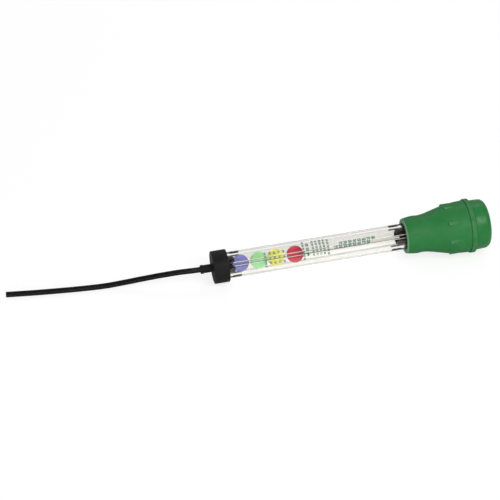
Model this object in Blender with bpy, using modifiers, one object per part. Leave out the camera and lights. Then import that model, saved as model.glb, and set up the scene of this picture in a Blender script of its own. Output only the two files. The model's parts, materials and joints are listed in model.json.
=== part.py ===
"""Antifreeze tester: rubber squeeze bulb, clear float tube, four coloured discs, tip cap and sampling hose.

Metres, +Z up. The tester lies on a bench on the collar of its bulb and the edge of its tip cap, so its
long axis runs along +X and climbs a little towards the bulb. The origin is on the bench, under the middle
of the tester without its hose. Stations count along the long axis from the tip cap's outer face, towards
the bulb. Pieces on the long axis hang on an empty whose local Z is that axis and whose local X is down.
"""

from math import asin, atan2, cos, pi, radians, sin, sqrt, tau

import bmesh
import bpy
from mathutils import Matrix, Vector

# Clear tube
TUBE_RADIUS = 0.0105
TUBE_WALL = 0.0016
TUBE_LENGTH = 0.1600
FIN_ROOT_WIDTH = 0.0022
FIN_TIP_WIDTH = 0.0016

# Density discs; the blue one rests on the stop and the yellow one on the green one
FLOAT_SIDE_PLAY = 0.00215
FLOAT_THICKNESS = 0.0030
FLOAT_EDGE_ROUND = 0.0005
GREEN_SPACE = 0.0016
RED_SPACE = 0.0023
CHANNEL_TURN = radians(51.4)

# Stops that close both ends of the tube
STOP_LEDGE = 0.00165
STOP_FLANGE_THICKNESS = 0.0015
STOP_NOSE_LENGTH = 0.0138
STOP_CHAMFER_LENGTH = 0.0020
STOP_CHAMFER_DEPTH = 0.0013

# Tip cap and its hose stub
CAP_WALL = 0.00245
CAP_LENGTH = 0.0123
CAP_FLOOR = 0.0020
STUB_LENGTH = 0.0098
STUB_WALL = 0.00075
STUB_WEB = 0.0010
STUB_ROOT_ROUND = 0.0008
BEAD_HEIGHT = 0.0003
BEAD_LENGTH = 0.0022

# Sampling hose
HOSE_RADIUS = 0.00225
HOSE_WALL = 0.0008

# Squeeze bulb: flare from the rim to the collar, collar, then a drum with a slightly domed end
FLARE_LENGTH = 0.0520
COLLAR_LENGTH = 0.0038
DRUM_LENGTH = 0.0140
BULB_RADIUS = 0.0212
BULB_WALL = 0.0026
NECK_WALL = 0.0032
NECK_OVERLAP = 0.0068
RIM_ROUND = 0.0010
LIP_DEPTH = 0.0022
LIP_LENGTH = 0.0020
COLLAR_HEIGHT = 0.0009
DRUM_STEP = 0.0009
DRUM_TAPER = 0.0005
DRUM_CORNER_ROUND = 0.0048
DOME_RISE = 0.0009
END_FLAT_RADIUS = 0.0070

# Grip ribs on the bulb
RIB_COUNT = 8
RIB_LENGTH = 0.0125
RIB_WIDTH = 0.0022
RIB_HEIGHT = 0.0016
RIB_ROUND = 0.0004
RIB_COLLAR_SPACE = 0.0053
RIB_TURN = radians(5.6)

# Fits and rounding shared by the pieces
FIT_GAP = 0.0003
EDGE_ROUND = 0.0004
CUT_OVERRUN = 0.0010
MERGE_DISTANCE = 0.00001

# Facets round a turned piece, and steps along arcs and smooth curves
FACETS = 48
EDGE_STEPS = 2
CORNER_STEPS = 5
FLARE_STEPS = 16
CAVITY_STEPS = 8
HOSE_POINTS = 36
HOSE_RING_DETAIL = 3
SMOOTH_ANGLE = radians(50)

# The flare: share of the way from the rim to the collar, share of the way from neck to body radius
FLARE_SHARES = (
    (0.000, 0.010), (0.096, 0.132), (0.177, 0.180), (0.254, 0.142), (0.346, 0.208),
    (0.496, 0.465), (0.702, 0.826), (0.865, 0.951), (1.000, 1.000),
)

# How deep a rib's root lies in the bulb's wall, and how deep its far end has sunk, of its height
RIB_ROOT_SHARE = 0.25
RIB_FADE_SHARE = 0.12

# The hose's route from the stub to its open end, chosen by hand: it sinks to the bench and lies on it
HOSE_ROUTE = (
    (-0.1260, 0.0001, 0.0127), (-0.1326, 0.0006, 0.0124), (-0.1392, 0.0012, 0.0118),
    (-0.1458, 0.0019, 0.0109), (-0.1524, 0.0027, 0.0099), (-0.1590, 0.0035, 0.0087),
    (-0.1656, 0.0044, 0.0075), (-0.1722, 0.0052, 0.0062), (-0.1788, 0.0060, 0.0050),
    (-0.1854, 0.0067, 0.0039), (-0.1920, 0.0073, 0.0030), (-0.1986, 0.0078, 0.0025),
    (-0.2060, 0.0082, 0.0023), (-0.2190, 0.0088, 0.0023), (-0.2340, 0.0098, 0.0023),
    (-0.2490, 0.0110, 0.0023), (-0.2620, 0.0123, 0.0023), (-0.2725, 0.0134, 0.0023),
)

# Radii that follow from the tube, from the hose and from the bulb's body
bore_radius = TUBE_RADIUS - TUBE_WALL
socket_radius = TUBE_RADIUS + FIT_GAP
cap_radius = socket_radius + CAP_WALL
neck_radius = socket_radius + NECK_WALL
float_radius = bore_radius - FLOAT_SIDE_PLAY
stop_hole_radius = float_radius - STOP_LEDGE
hose_socket_radius = HOSE_RADIUS + FIT_GAP
stub_radius = hose_socket_radius + STUB_WALL
bead_radius = stub_radius + BEAD_HEIGHT
collar_radius = BULB_RADIUS + COLLAR_HEIGHT
drum_radius = BULB_RADIUS - DRUM_STEP

# Stations of the seats along the long axis
flange_start = CAP_FLOOR + FIT_GAP
tube_start = flange_start + STOP_FLANGE_THICKNESS + FIT_GAP
tube_end = tube_start + TUBE_LENGTH
lower_nose = flange_start + STOP_FLANGE_THICKNESS + STOP_NOSE_LENGTH
upper_flange_face = tube_end + FIT_GAP + STOP_FLANGE_THICKNESS
bulb_start = tube_end - NECK_OVERLAP
bulb_length = FLARE_LENGTH + COLLAR_LENGTH + DRUM_LENGTH
hose_socket_end = -STUB_WEB
hose_start = hose_socket_end - FIT_GAP

# The slot between the fins, and how far a disc's centre stays from a stop that it touches
slot_half = FLOAT_THICKNESS / 2 + FIT_GAP
hole_half_chord = sqrt(stop_hole_radius ** 2 - (FLOAT_THICKNESS / 2) ** 2)
float_seat = sqrt(float_radius ** 2 - hole_half_chord ** 2)

# The tester lies on a facet of the cap and one of the collar, whose edges have the same rounding
facet_share = cos(pi / FACETS)
lying_angle = atan2((collar_radius - cap_radius) * facet_share, bulb_start + FLARE_LENGTH)
cap_rest_height = (cap_radius - EDGE_ROUND) * facet_share * cos(lying_angle)
axis_height = cap_rest_height + EDGE_ROUND * (1 - sin(lying_angle))
body_reach = (bulb_start + bulb_length - STUB_LENGTH) * cos(lying_angle)
middle_x = (body_reach + (END_FLAT_RADIUS - bead_radius) * sin(lying_angle)) / 2


def make_collection(name):
    collection = bpy.data.collections.new(name)
    bpy.context.scene.collection.children.link(collection)
    return collection


def make_material(name, colour, roughness, alpha=1.0):
    material = bpy.data.materials.new(name)
    material.use_nodes = True
    shader = material.node_tree.nodes["Principled BSDF"]
    shader.inputs["Base Color"].default_value = (*colour, 1.0)
    shader.inputs["Roughness"].default_value = roughness
    shader.inputs["Metallic"].default_value = 0.0
    shader.inputs["Alpha"].default_value = alpha
    material.diffuse_color = (*colour, alpha)
    return material


def add_piece(name, data, material, parent=None):
    piece = bpy.data.objects.new(name, data)
    parts.objects.link(piece)
    data.materials.append(material)
    piece.parent = parent
    return piece


def add_cutter(name, mesh, parent):
    cutter = bpy.data.objects.new(name, mesh)
    cutters.objects.link(cutter)
    cutter.parent = parent
    cutter.hide_render = True
    cutter.display_type = "WIRE"
    return cutter


def add_guide(name, parent=None):
    guide = bpy.data.objects.new(name, None)
    parts.objects.link(guide)
    guide.parent = parent
    return guide


def add_boolean(piece, other, operation):
    modifier = piece.modifiers.new(operation.lower(), "BOOLEAN")
    modifier.operation = operation
    modifier.solver = "EXACT"
    modifier.object = other


def add_bevel(piece, width):
    bevel = piece.modifiers.new("edge", "BEVEL")
    bevel.width = width
    bevel.segments = 2
    bevel.limit_method = "ANGLE"


def rounded_outline(corners):
    """Corners are (radius, station) or (radius, station, rounding); the roundings become arcs."""
    outline = []
    for index, (radius, station, *rounding) in enumerate(corners):
        corner = Vector((radius, station))
        if not rounding:
            outline.append(corner)
            continue
        size = rounding[0]
        steps = CORNER_STEPS if size > EDGE_ROUND else EDGE_STEPS
        back = (Vector(corners[index - 1][:2]) - corner).normalized()
        ahead = (Vector(corners[(index + 1) % len(corners)][:2]) - corner).normalized()
        half_angle = back.angle(ahead) / 2
        centre = corner + (back + ahead).normalized() * (size / sin(half_angle))
        arm = corner + back * (size * cos(half_angle) / sin(half_angle)) - centre
        turn = pi - 2 * half_angle
        if arm.y * back.x < arm.x * back.y:
            turn = -turn
        for step in range(steps + 1):
            outline.append(centre + Matrix.Rotation(turn * step / steps, 2) @ arm)
    return outline


def turned_piece(name, corners, material, closed=True):
    """Turns an outline about the long axis; it runs down the outer side, then up the inner side."""
    points = [(radius, 0, station) for radius, station in rounded_outline(corners)]
    edges = [(index, index + 1) for index in range(len(points) - 1)]
    if closed:
        edges.append((len(points) - 1, 0))
    mesh = bpy.data.meshes.new(name)
    mesh.from_pydata(points, edges, [])
    piece = add_piece(name, mesh, material, long_axis)
    screw = piece.modifiers.new("turn", "SCREW")
    screw.steps = FACETS
    screw.render_steps = FACETS
    screw.use_merge_vertices = True
    screw.merge_threshold = MERGE_DISTANCE
    screw.use_smooth_shade = True
    return piece


def smooth_value(table, place):
    """A cubic curve through a table of (place, value), read at one place."""
    last = len(table) - 1
    slopes = []
    for index in range(last + 1):
        low, high = table[max(index - 1, 0)], table[min(index + 1, last)]
        slopes.append((high[1] - low[1]) / (high[0] - low[0]))
    index = max(i for i in range(last) if table[i][0] <= place)
    (low_place, low_value), (high_place, high_value) = table[index], table[index + 1]
    span = high_place - low_place
    t = (place - low_place) / span
    from_low = (2 * t ** 3 - 3 * t ** 2 + 1) * low_value + (t ** 3 - 2 * t ** 2 + t) * span * slopes[index]
    from_high = (3 * t ** 2 - 2 * t ** 3) * high_value + (t ** 3 - t ** 2) * span * slopes[index + 1]
    return from_low + from_high


def flare_radius(place):
    """The bulb's outer radius at a distance from its rim, up to the collar."""
    return neck_radius + (BULB_RADIUS - neck_radius) * smooth_value(FLARE_SHARES, place / FLARE_LENGTH)


def long_axis_point(station):
    return Vector((station * cos(lying_angle) - middle_x, 0, axis_height + station * sin(lying_angle)))


def make_clear_tube():
    """A tube whose two inner fins leave a slot that keeps the discs face on."""
    outer_loop = []
    for step in range(FACETS):
        angle = tau * step / FACETS
        outer_loop.append((TUBE_RADIUS * cos(angle), TUBE_RADIUS * sin(angle)))
    inner_loop = []
    root_angle = asin(FIN_ROOT_WIDTH / 2 / bore_radius)
    arc_steps = FACETS // 2
    for side in (1, -1):
        for step in range(arc_steps + 1):
            angle = root_angle + (pi - 2 * root_angle) * step / arc_steps
            inner_loop.append((side * bore_radius * cos(angle), side * bore_radius * sin(angle)))
        inner_loop.append((-side * slot_half, side * FIN_TIP_WIDTH / 2))
        inner_loop.append((-side * slot_half, -side * FIN_TIP_WIDTH / 2))

    curve = bpy.data.curves.new("clear_tube", "CURVE")
    curve.dimensions = "2D"
    curve.fill_mode = "BOTH"
    curve.extrude = TUBE_LENGTH / 2
    for loop in (outer_loop, inner_loop):
        spline = curve.splines.new("POLY")
        spline.points.add(len(loop) - 1)
        spline.use_cyclic_u = True
        for point, (x, y) in zip(spline.points, loop):
            point.co = (x, y, 0, 1)
    material = make_material("clear_plastic", (0.93, 0.95, 0.94), 0.05, 0.3)
    tube = add_piece("clear_tube", curve, material, channel)
    tube.location.z = tube_start + TUBE_LENGTH / 2


def make_float(name, station, colour):
    """A flat disc that stands on edge in the slot, with its centre on the long axis."""
    mesh = bpy.data.meshes.new(name)
    shape = bmesh.new()
    bmesh.ops.create_cone(shape, cap_ends=True, segments=FACETS, radius1=float_radius, radius2=float_radius,
                          depth=FLOAT_THICKNESS)
    shape.to_mesh(mesh)
    shape.free()
    mesh.shade_smooth()
    mesh.set_sharp_from_angle(angle=SMOOTH_ANGLE)
    disc = add_piece(name, mesh, make_material(name, colour, 0.3), channel)
    disc.location.z = station
    disc.rotation_euler.y = pi / 2
    add_bevel(disc, FLOAT_EDGE_ROUND)


def make_stop(name, flange_face, flipped):
    """A flanged ring for one end of the tube; the slots for the fins part its nose into two prongs."""
    ring_radius = bore_radius - FIT_GAP
    nose_end = STOP_FLANGE_THICKNESS + STOP_NOSE_LENGTH
    corners = [
        (ring_radius - STOP_CHAMFER_DEPTH, nose_end),
        (ring_radius, nose_end - STOP_CHAMFER_LENGTH),
        (ring_radius, STOP_FLANGE_THICKNESS),
        (TUBE_RADIUS, STOP_FLANGE_THICKNESS),
        (TUBE_RADIUS, 0),
        (stop_hole_radius, 0),
        (stop_hole_radius, nose_end),
    ]
    stop = turned_piece(name, corners, make_material(name, (0.02, 0.02, 0.022), 0.4))
    stop.parent = channel
    stop.location.z = flange_face
    if flipped:
        stop.rotation_euler.x = pi

    slot_floor = STOP_FLANGE_THICKNESS - FIT_GAP
    slot_length = nose_end - slot_floor + CUT_OVERRUN
    slot_size = (2 * (ring_radius + CUT_OVERRUN), FIN_ROOT_WIDTH + 2 * FIT_GAP, slot_length)
    mesh = bpy.data.meshes.new(name + "_slots")
    shape = bmesh.new()
    bmesh.ops.create_cube(shape, size=1)
    bmesh.ops.scale(shape, vec=slot_size, verts=shape.verts)
    bmesh.ops.translate(shape, vec=(0, 0, slot_floor + slot_length / 2), verts=shape.verts)
    shape.to_mesh(mesh)
    shape.free()
    add_boolean(stop, add_cutter(name + "_slots", mesh, stop), "DIFFERENCE")


def make_tip_cap():
    """A cup that grips the tube, with a beaded stub that holds the hose."""
    bead_start = BEAD_LENGTH - STUB_LENGTH
    passage_radius = HOSE_RADIUS - HOSE_WALL
    corners = [
        (cap_radius, CAP_LENGTH, EDGE_ROUND),
        (cap_radius, 0, EDGE_ROUND),
        (stub_radius, 0, STUB_ROOT_ROUND),
        (stub_radius, bead_start + BEAD_HEIGHT),
        (bead_radius, bead_start),
        (bead_radius, -STUB_LENGTH, EDGE_ROUND),
        (hose_socket_radius, -STUB_LENGTH),
        (hose_socket_radius, hose_socket_end),
        (passage_radius, hose_socket_end),
        (passage_radius, CAP_FLOOR),
        (socket_radius, CAP_FLOOR),
        (socket_radius, CAP_LENGTH),
    ]
    cap = turned_piece("tip_cap", corners, make_material("black_rubber", (0.025, 0.025, 0.027), 0.6))
    cap.rotation_euler.z = pi / FACETS


def bulb_corners():
    """The bulb's section from the middle of its end, along its outside to the rim and back inside."""
    drum_start = FLARE_LENGTH + COLLAR_LENGTH
    drum_end_radius = drum_radius - DRUM_TAPER
    outside = [
        (0, bulb_length),
        (END_FLAT_RADIUS, bulb_length),
        (drum_end_radius, bulb_length - DOME_RISE, DRUM_CORNER_ROUND),
        (drum_radius, drum_start),
        (collar_radius, drum_start, EDGE_ROUND),
        (collar_radius, FLARE_LENGTH, EDGE_ROUND),
    ]
    for step in range(FLARE_STEPS, 0, -1):
        place = FLARE_LENGTH * step / FLARE_STEPS
        outside.append((flare_radius(place), place))
    outside.append((flare_radius(0), 0, RIM_ROUND))

    lip_radius = socket_radius - LIP_DEPTH
    lip_start = NECK_OVERLAP + FIT_GAP + STOP_FLANGE_THICKNESS + FIT_GAP
    lip_end = lip_start + LIP_LENGTH
    cavity_start = lip_end + LIP_DEPTH
    cavity_end = bulb_length - BULB_WALL
    inside = [
        (socket_radius, 0, EDGE_ROUND),
        (socket_radius, lip_start),
        (lip_radius, lip_start),
        (lip_radius, lip_end),
    ]
    for step in range(CAVITY_STEPS + 1):
        place = cavity_start + (FLARE_LENGTH - cavity_start) * step / CAVITY_STEPS
        inside.append((flare_radius(place) - BULB_WALL, place))
    inside.append((drum_end_radius - BULB_WALL, cavity_end, max(DRUM_CORNER_ROUND - BULB_WALL, EDGE_ROUND)))
    inside.append((0, cavity_end))
    return outside + inside


def make_squeeze_bulb():
    """A hollow rubber bulb with a neck over the tube, a collar to lie on and short grip ribs."""
    material = make_material("green_rubber", (0.03, 0.22, 0.055), 0.55)
    bulb = turned_piece("squeeze_bulb", bulb_corners(), material, closed=False)
    bulb.location.z = bulb_start
    bulb.rotation_euler.z = pi / FACETS

    rib_end = FLARE_LENGTH - RIB_COLLAR_SPACE
    rib_start = rib_end - RIB_LENGTH
    root_radius = flare_radius(rib_start) - BULB_WALL * RIB_ROOT_SHARE
    start_radius = flare_radius(rib_start) + RIB_HEIGHT
    end_radius = flare_radius(rib_end) - RIB_HEIGHT * RIB_FADE_SHARE
    mesh = bpy.data.meshes.new("bulb_ribs")
    shape = bmesh.new()
    for index in range(RIB_COUNT):
        rib = bmesh.ops.create_cube(shape, size=1)["verts"]
        for corner in rib:
            at_end = corner.co.z > 0
            top_radius = end_radius if at_end else start_radius
            corner.co.x = top_radius if corner.co.x > 0 else root_radius
            corner.co.y *= RIB_WIDTH
            corner.co.z = rib_end if at_end else rib_start
        turn = tau * index / RIB_COUNT - RIB_TURN - bulb.rotation_euler.z
        bmesh.ops.rotate(shape, matrix=Matrix.Rotation(turn, 3, "Z"), verts=rib)
    shape.to_mesh(mesh)
    shape.free()
    ribs = add_cutter("bulb_ribs", mesh, bulb)
    add_bevel(ribs, RIB_ROUND)
    add_boolean(bulb, ribs, "UNION")


def make_sampling_hose():
    """A hollow hose along a smooth curve: out of the stub's socket, down to the bench and along it."""
    inner_end = long_axis_point(hose_start)
    mouth = long_axis_point(-STUB_LENGTH)
    route = [inner_end, (inner_end + mouth) / 2, mouth] + [Vector(point) for point in HOSE_ROUTE]
    lengths = [0]
    for before, after in zip(route, route[1:]):
        lengths.append(lengths[-1] + (after - before).length)
    tables = [[(length, point[axis]) for length, point in zip(lengths, route)] for axis in range(3)]

    curve = bpy.data.curves.new("sampling_hose", "CURVE")
    curve.dimensions = "3D"
    curve.bevel_depth = HOSE_RADIUS
    curve.bevel_resolution = HOSE_RING_DETAIL
    spline = curve.splines.new("POLY")
    spline.points.add(HOSE_POINTS - 1)
    for index, point in enumerate(spline.points):
        place = lengths[-1] * index / (HOSE_POINTS - 1)
        point.co = (*(smooth_value(table, place) for table in tables), 1)
    hose = add_piece("sampling_hose", curve, make_material("hose_rubber", (0.02, 0.02, 0.02), 0.5))
    wall = hose.modifiers.new("wall", "SOLIDIFY")
    wall.thickness = HOSE_WALL
    wall.offset = -1


for old in list(bpy.data.objects):
    bpy.data.objects.remove(old)
parts = make_collection("antifreeze_tester")
cutters = make_collection("cutters")

long_axis = add_guide("long_axis")
long_axis.location = long_axis_point(0)
long_axis.rotation_euler.y = pi / 2 - lying_angle
channel = add_guide("channel", long_axis)
channel.rotation_euler.z = CHANNEL_TURN

make_squeeze_bulb()
make_clear_tube()
make_stop("lower_stop", flange_start, flipped=False)
make_stop("upper_stop", upper_flange_face, flipped=True)
make_tip_cap()
make_sampling_hose()

float_edge = lower_nose + float_seat - float_radius
for name, space, colour in (
    ("float_blue", FIT_GAP, (0.10, 0.11, 0.45)),
    ("float_green", GREEN_SPACE, (0.10, 0.50, 0.14)),
    ("float_yellow", FIT_GAP, (0.75, 0.65, 0.04)),
    ("float_red", RED_SPACE, (0.55, 0.02, 0.06)),
):
    make_float(name, float_edge + space + float_radius, colour)
    float_edge += space + 2 * float_radius
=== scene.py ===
"""Antifreeze tester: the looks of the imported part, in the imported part's frame.

Metres, +Z up. Stations count along the tester's long axis from the tip cap's outer face, towards the
bulb, as they do in the part's source. Pieces on the long axis are made in its own frame: local Z is the
axis and local X is down. In the channel's frame local X runs from the camera's side of the tube to its
far side, through the two fins.
"""

import json
from math import asin, cos, pi, radians, sin, tau

import bmesh
import bpy
from mathutils import Matrix, Vector


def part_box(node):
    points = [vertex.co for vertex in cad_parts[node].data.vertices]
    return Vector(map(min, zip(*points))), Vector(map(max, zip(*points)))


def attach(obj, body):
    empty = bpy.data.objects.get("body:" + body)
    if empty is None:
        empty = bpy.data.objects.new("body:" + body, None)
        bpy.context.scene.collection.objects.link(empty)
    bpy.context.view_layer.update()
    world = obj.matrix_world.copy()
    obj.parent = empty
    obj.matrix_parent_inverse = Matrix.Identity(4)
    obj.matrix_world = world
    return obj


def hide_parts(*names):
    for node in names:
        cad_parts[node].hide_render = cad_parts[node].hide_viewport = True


# Camera, fitted to the photograph
CAMERA_TARGET = Vector((-0.0763, 0.0080, 0.0197))
CAMERA_AZIMUTH = radians(-11.8)
CAMERA_ELEVATION = radians(38.6)
CAMERA_DISTANCE = 1.568
CAMERA_LENS_MM = 141.1
CAMERA_SENSOR_MM = 36

# Clear tube, its fins and its discs
TUBE_RADIUS = 0.0105
TUBE_WALL = 0.0031
TUBE_LENGTH = 0.1600
FIN_ROOT_WIDTH = 0.0018
FIN_TIP_WIDTH = 0.0016
FIN_FILLET = 0.0005
FIN_TIP_ROUND = 0.0006
# White strips along the fins' roots paint a highlight where the fins refract bright lines; this is their
# thickness
FIN_HIGHLIGHT_THICKNESS = 0.00003
FLOAT_RADIUS = 0.00675
FLOAT_THICKNESS = 0.0030
FLOAT_EDGE_ROUND = 0.0005
CHANNEL_TURN = radians(51.4)

# Stops. A tongue begins its root's length before the nose's chamfer and reaches past the nose's end
STOP_HOLE_RADIUS = 0.0051
STOP_FLANGE_THICKNESS = 0.0015
STOP_NOSE_LENGTH = 0.0138
STOP_CHAMFER_LENGTH = 0.0020
STOP_CHAMFER_DEPTH = 0.0013
STOP_EDGE_ROUND = 0.0002
STOP_WEB_WIDTH = 0.0014
TIP_WEB_DEPTH = 0.0004
BULB_WEB_DEPTH = 0.0028
CRUSH_RIB_WIDTH = 0.0024
CRUSH_RIB_START = 0.0040
TONGUE_WIDTH = 0.0044
TONGUE_THICKNESS = 0.00045
TONGUE_ROOT = 0.0005
TONGUE_REACH = 0.0048

# Tip cap and stub
CAP_LENGTH = 0.0123
CAP_FLOOR = 0.0020
CAP_EDGE_ROUND = 0.0006
STUB_LENGTH = 0.0098
STUB_RADIUS = 0.0033
STUB_WEB = 0.0010
STUB_ROOT_ROUND = 0.0009
BEAD_RADIUS = 0.0036
BEAD_LENGTH = 0.0022

# Hose
HOSE_RADIUS = 0.00225
HOSE_WALL = 0.0008

# Squeeze bulb
FLARE_LENGTH = 0.0520
COLLAR_LENGTH = 0.0038
DRUM_LENGTH = 0.0140
BULB_RADIUS = 0.0212
BULB_WALL = 0.0026
NECK_WALL = 0.0032
NECK_OVERLAP = 0.0068
RIM_ROUND = 0.0006
LIP_DEPTH = 0.0022
LIP_LENGTH = 0.0020
DRUM_STEP = 0.0009
DRUM_TAPER = 0.0005
DRUM_CORNER_ROUND = 0.0048
DOME_RISE = 0.0009
END_FLAT_RADIUS = 0.0070
BULB_EDGE_ROUND = 0.0005
RIB_COUNT = 8
RIB_LENGTH = 0.0125
RIB_WIDTH = 0.0022
RIB_HEIGHT = 0.0016
RIB_SOFTNESS = 0.0004
RIB_COLLAR_SPACE = 0.0053
RIB_TURN = radians(5.6)
COLLAR_GROOVE_WIDTH = 0.0009
COLLAR_GROOVE_DEPTH = 0.0003

FIT_GAP = 0.0003

# The flare: share of the way from the rim to the collar, share of the way from neck to body radius
FLARE_SHARES = (
    (0.000, 0.010), (0.096, 0.132), (0.177, 0.180), (0.254, 0.142), (0.346, 0.208),
    (0.496, 0.465), (0.702, 0.826), (0.865, 0.951), (1.000, 1.000),
)

# The hose's route from the stub to its open end, as in the part's source
HOSE_ROUTE = (
    (-0.1260, 0.0001, 0.0127), (-0.1326, 0.0006, 0.0124), (-0.1392, 0.0012, 0.0118),
    (-0.1458, 0.0019, 0.0109), (-0.1524, 0.0027, 0.0099), (-0.1590, 0.0035, 0.0087),
    (-0.1656, 0.0044, 0.0075), (-0.1722, 0.0052, 0.0062), (-0.1788, 0.0060, 0.0050),
    (-0.1854, 0.0067, 0.0039), (-0.1920, 0.0073, 0.0030), (-0.1986, 0.0078, 0.0025),
    (-0.2060, 0.0082, 0.0023), (-0.2190, 0.0088, 0.0023), (-0.2340, 0.0098, 0.0023),
    (-0.2490, 0.0110, 0.0023), (-0.2620, 0.0123, 0.0023), (-0.2725, 0.0134, 0.0023),
)

# Fineness: facets round a turned piece, and steps along arcs and smooth curves
FACETS = 144
ARC_STEPS = 8
FLARE_STEPS = 104
CAVITY_STEPS = 12
RIB_COLUMNS = 12
GAP_COLUMNS = 10
HOSE_RINGS = 220
HOSE_FACETS = 40
STOP_EDGE_STEPS = 3

# Edges that turn by more than these angles stay sharp
SHARP_ANGLE = radians(30)
STOP_SHARP_ANGLE = radians(40)
ROUND_SHARP_ANGLE = radians(50)
BULB_SHARP_ANGLE = radians(60)

# Print on the tube, numbers only: how thick the ink is and how big the numbers are
INK_THICKNESS = 0.00006
INK_LIFT = 0.00001
SMALL_PRINT = 0.0022
BOLD_PRINT = 0.0030
INK_SPREAD_SHARE = 0.0495

# Rows across the tube: station, height above the middle of its camera side, numbers, size
PRINT_ROWS = (
    (0.0420, -0.0006, "8 16 24 32 40", SMALL_PRINT), (0.0458, 0.0002, "12   24   36", SMALL_PRINT),
    (0.0495, -0.0002, "10   20   30", SMALL_PRINT), (0.0533, 0.0002, "15   30   45", SMALL_PRINT),
    (0.0570, 0.0000, "20   40   60", SMALL_PRINT), (0.0733, 0.0018, "10 20 30 40 50 60", SMALL_PRINT),
    (0.0766, 0.0022, "40 30 20", BOLD_PRINT), (0.0811, 0.0027, "10 20 30 40 50", SMALL_PRINT),
    (0.0841, 0.0027, "15 25 35 45 55", SMALL_PRINT), (0.0872, 0.0027, "12 24 36 48 60", SMALL_PRINT),
    (0.0901, 0.0027, "20 30 40 50 60", SMALL_PRINT), (0.0933, 0.0020, "25 35 45 55 65", SMALL_PRINT),
)

# Lines along the tube: middle station, height above the middle of its camera side, numbers, size
PRINT_LINES = (
    (0.1170, 0.0030, "10 20 30 40 50 60 70 80", BOLD_PRINT),
    (0.1128, 0.0004, "15 25 35 45 55 65 75 85", BOLD_PRINT),
)

# Moulded materials: colours, how uneven the tone is, and how many grains there are to a metre
HOSE_RUBBER = {
    "colour": (0.005, 0.0045, 0.0045), "wear_and_highlight_colour": (0.02, 0.02, 0.02), "tone": 0.15,
    "roughness": 0.36, "gloss": 0.26, "grain": 3000, "grain_depth": 0.00001,
}
# Its pale colour paints the highlight on the bulb's rim, and the paler edges that are partly wear and partly
# highlight
GREEN_RUBBER = {
    "colour": (0.022, 0.225, 0.052), "wear_and_highlight_colour": (0.34, 0.47, 0.36), "tone": 0.08,
    "roughness": 0.54, "gloss": 0.36, "grain": 2600, "grain_depth": 0.00002,
}
BLACK_RUBBER = {
    "colour": (0.014, 0.0135, 0.014), "wear_and_highlight_colour": (0.05, 0.05, 0.05), "tone": 0.12,
    "roughness": 0.50, "gloss": 0.15, "grain": 2600, "grain_depth": 0.00002,
}
BLACK_PLASTIC = {
    "colour": (0.004, 0.004, 0.004), "wear_and_highlight_colour": (0.02, 0.02, 0.02), "tone": 0.10,
    "roughness": 0.42, "gloss": 0.04, "grain": 3000, "grain_depth": 0.000002,
}
# White for the painted highlights along the fins' roots, in place of the bright lines that the fins refract
FIN_HIGHLIGHT_WHITE = {
    "colour": (0.90, 0.90, 0.88), "wear_and_highlight_colour": (0.95, 0.95, 0.94), "tone": 0.04,
    "roughness": 0.50, "gloss": 0.2, "grain": 2600, "grain_depth": 0.000004,
}
DISC_PLASTIC = {"tone": 0.10, "roughness": 0.45, "gloss": 0.15, "grain": 2000, "grain_depth": 0.000005}
DISC_COLOURS = {
    "blue": (0.150, 0.160, 0.44),
    "green": (0.31, 0.66, 0.32),
    "yellow": (0.78, 0.74, 0.16),
    "red": (0.42, 0.015, 0.040),
}

# The discs' paler edges, partly wear and partly painted highlight: each channel of the colour is raised to
# this power
PALE_DISC_EDGE_POWER = 0.7

# Unevenness of the materials: noise features to a metre, their detail, and the noise values that count
NOISE_DETAIL = 4.0
NOISE_RANGE = (0.3, 0.7)
CLOUD_SCALE = 130
SPECK_SCALE, SPECK_DETAIL, SPECK_RANGE = 1100, 6, (0.35, 0.65)
SHEEN_SCALE, SHEEN_DETAIL, SHEEN_BELOW, SHEEN_ABOVE = 320, 5, 0.06, 0.08
GRAIN_DETAIL = 3

# Paler edges, partly wear and partly painted highlight; a painted highlight on the rim of the bulb's neck;
# and the polish beyond the collar
WEAR_AND_HIGHLIGHT_POINTINESS = (0.510, 0.535)
EDGE_WEAR_AND_HIGHLIGHT = 0.35
RIM_HIGHLIGHT = 0.60
RIM_WIDTH = 0.0010
RIM_FADE = 0.0003
POLISH = 0.20
POLISH_FADE = 0.001

# Clear plastic, and the fine lines that drawing it through a die leaves along it
CLEAR_COLOUR = (0.99, 0.985, 0.965, 1)
CLEAR_IOR = 1.49
CLEAR_SHADOW = (0.93, 0.93, 0.92, 1)
SMOKE_COLOUR = (0.5, 0.48, 0.35, 1)
SMOKE_DENSITY = 22
DRAW_LINE_SCALE, DRAW_LINE_DETAIL, DRAW_LINE_STRETCH = 900, 3, (1, 1, 0)
DRAW_LINE_ROUGHNESS = 0.02
DRAW_LINE_DEPTH = 0.000001

# Ink
INK_COLOUR = (0.035, 0.19, 0.12, 1)
INK_ROUGHNESS = 0.4
INK_NOISE_SCALE, INK_NOISE_DETAIL, INK_TONES = 700, 5, (0.8, 1.3)

# The floor. It gives light back as FLOOR_LIT. What the camera and the tube show of it is FLOOR_SHOWN, which
# keeps the shadow, and a glow of its own, which is FLOOR_GLOW to the camera
FLOOR_SIZE = 6
FLOOR_LIT = (0.75, 0.75, 0.75, 1)
FLOOR_SHOWN = (0.30, 0.30, 0.30, 1)
FLOOR_GLOW = 0.80

# The floor's glow through the tube: near the tester, in a strip of shade behind the tube's foot, behind the
# strip, and farther off. The places are distances behind the tester's line on the floor
NEAR_LEVEL = 0.86
SHADE_START = 0.0015
SHADE_END = 0.0070
SHADE_SOFTNESS = 0.0015
SHADE_SLANT = 0.053
SHADE_LEVEL = 0.45
BEHIND_LEVEL = 0.92
FAR_START = 0.0130
FAR_END = 0.0190
FAR_SHARE = 0.72

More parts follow.
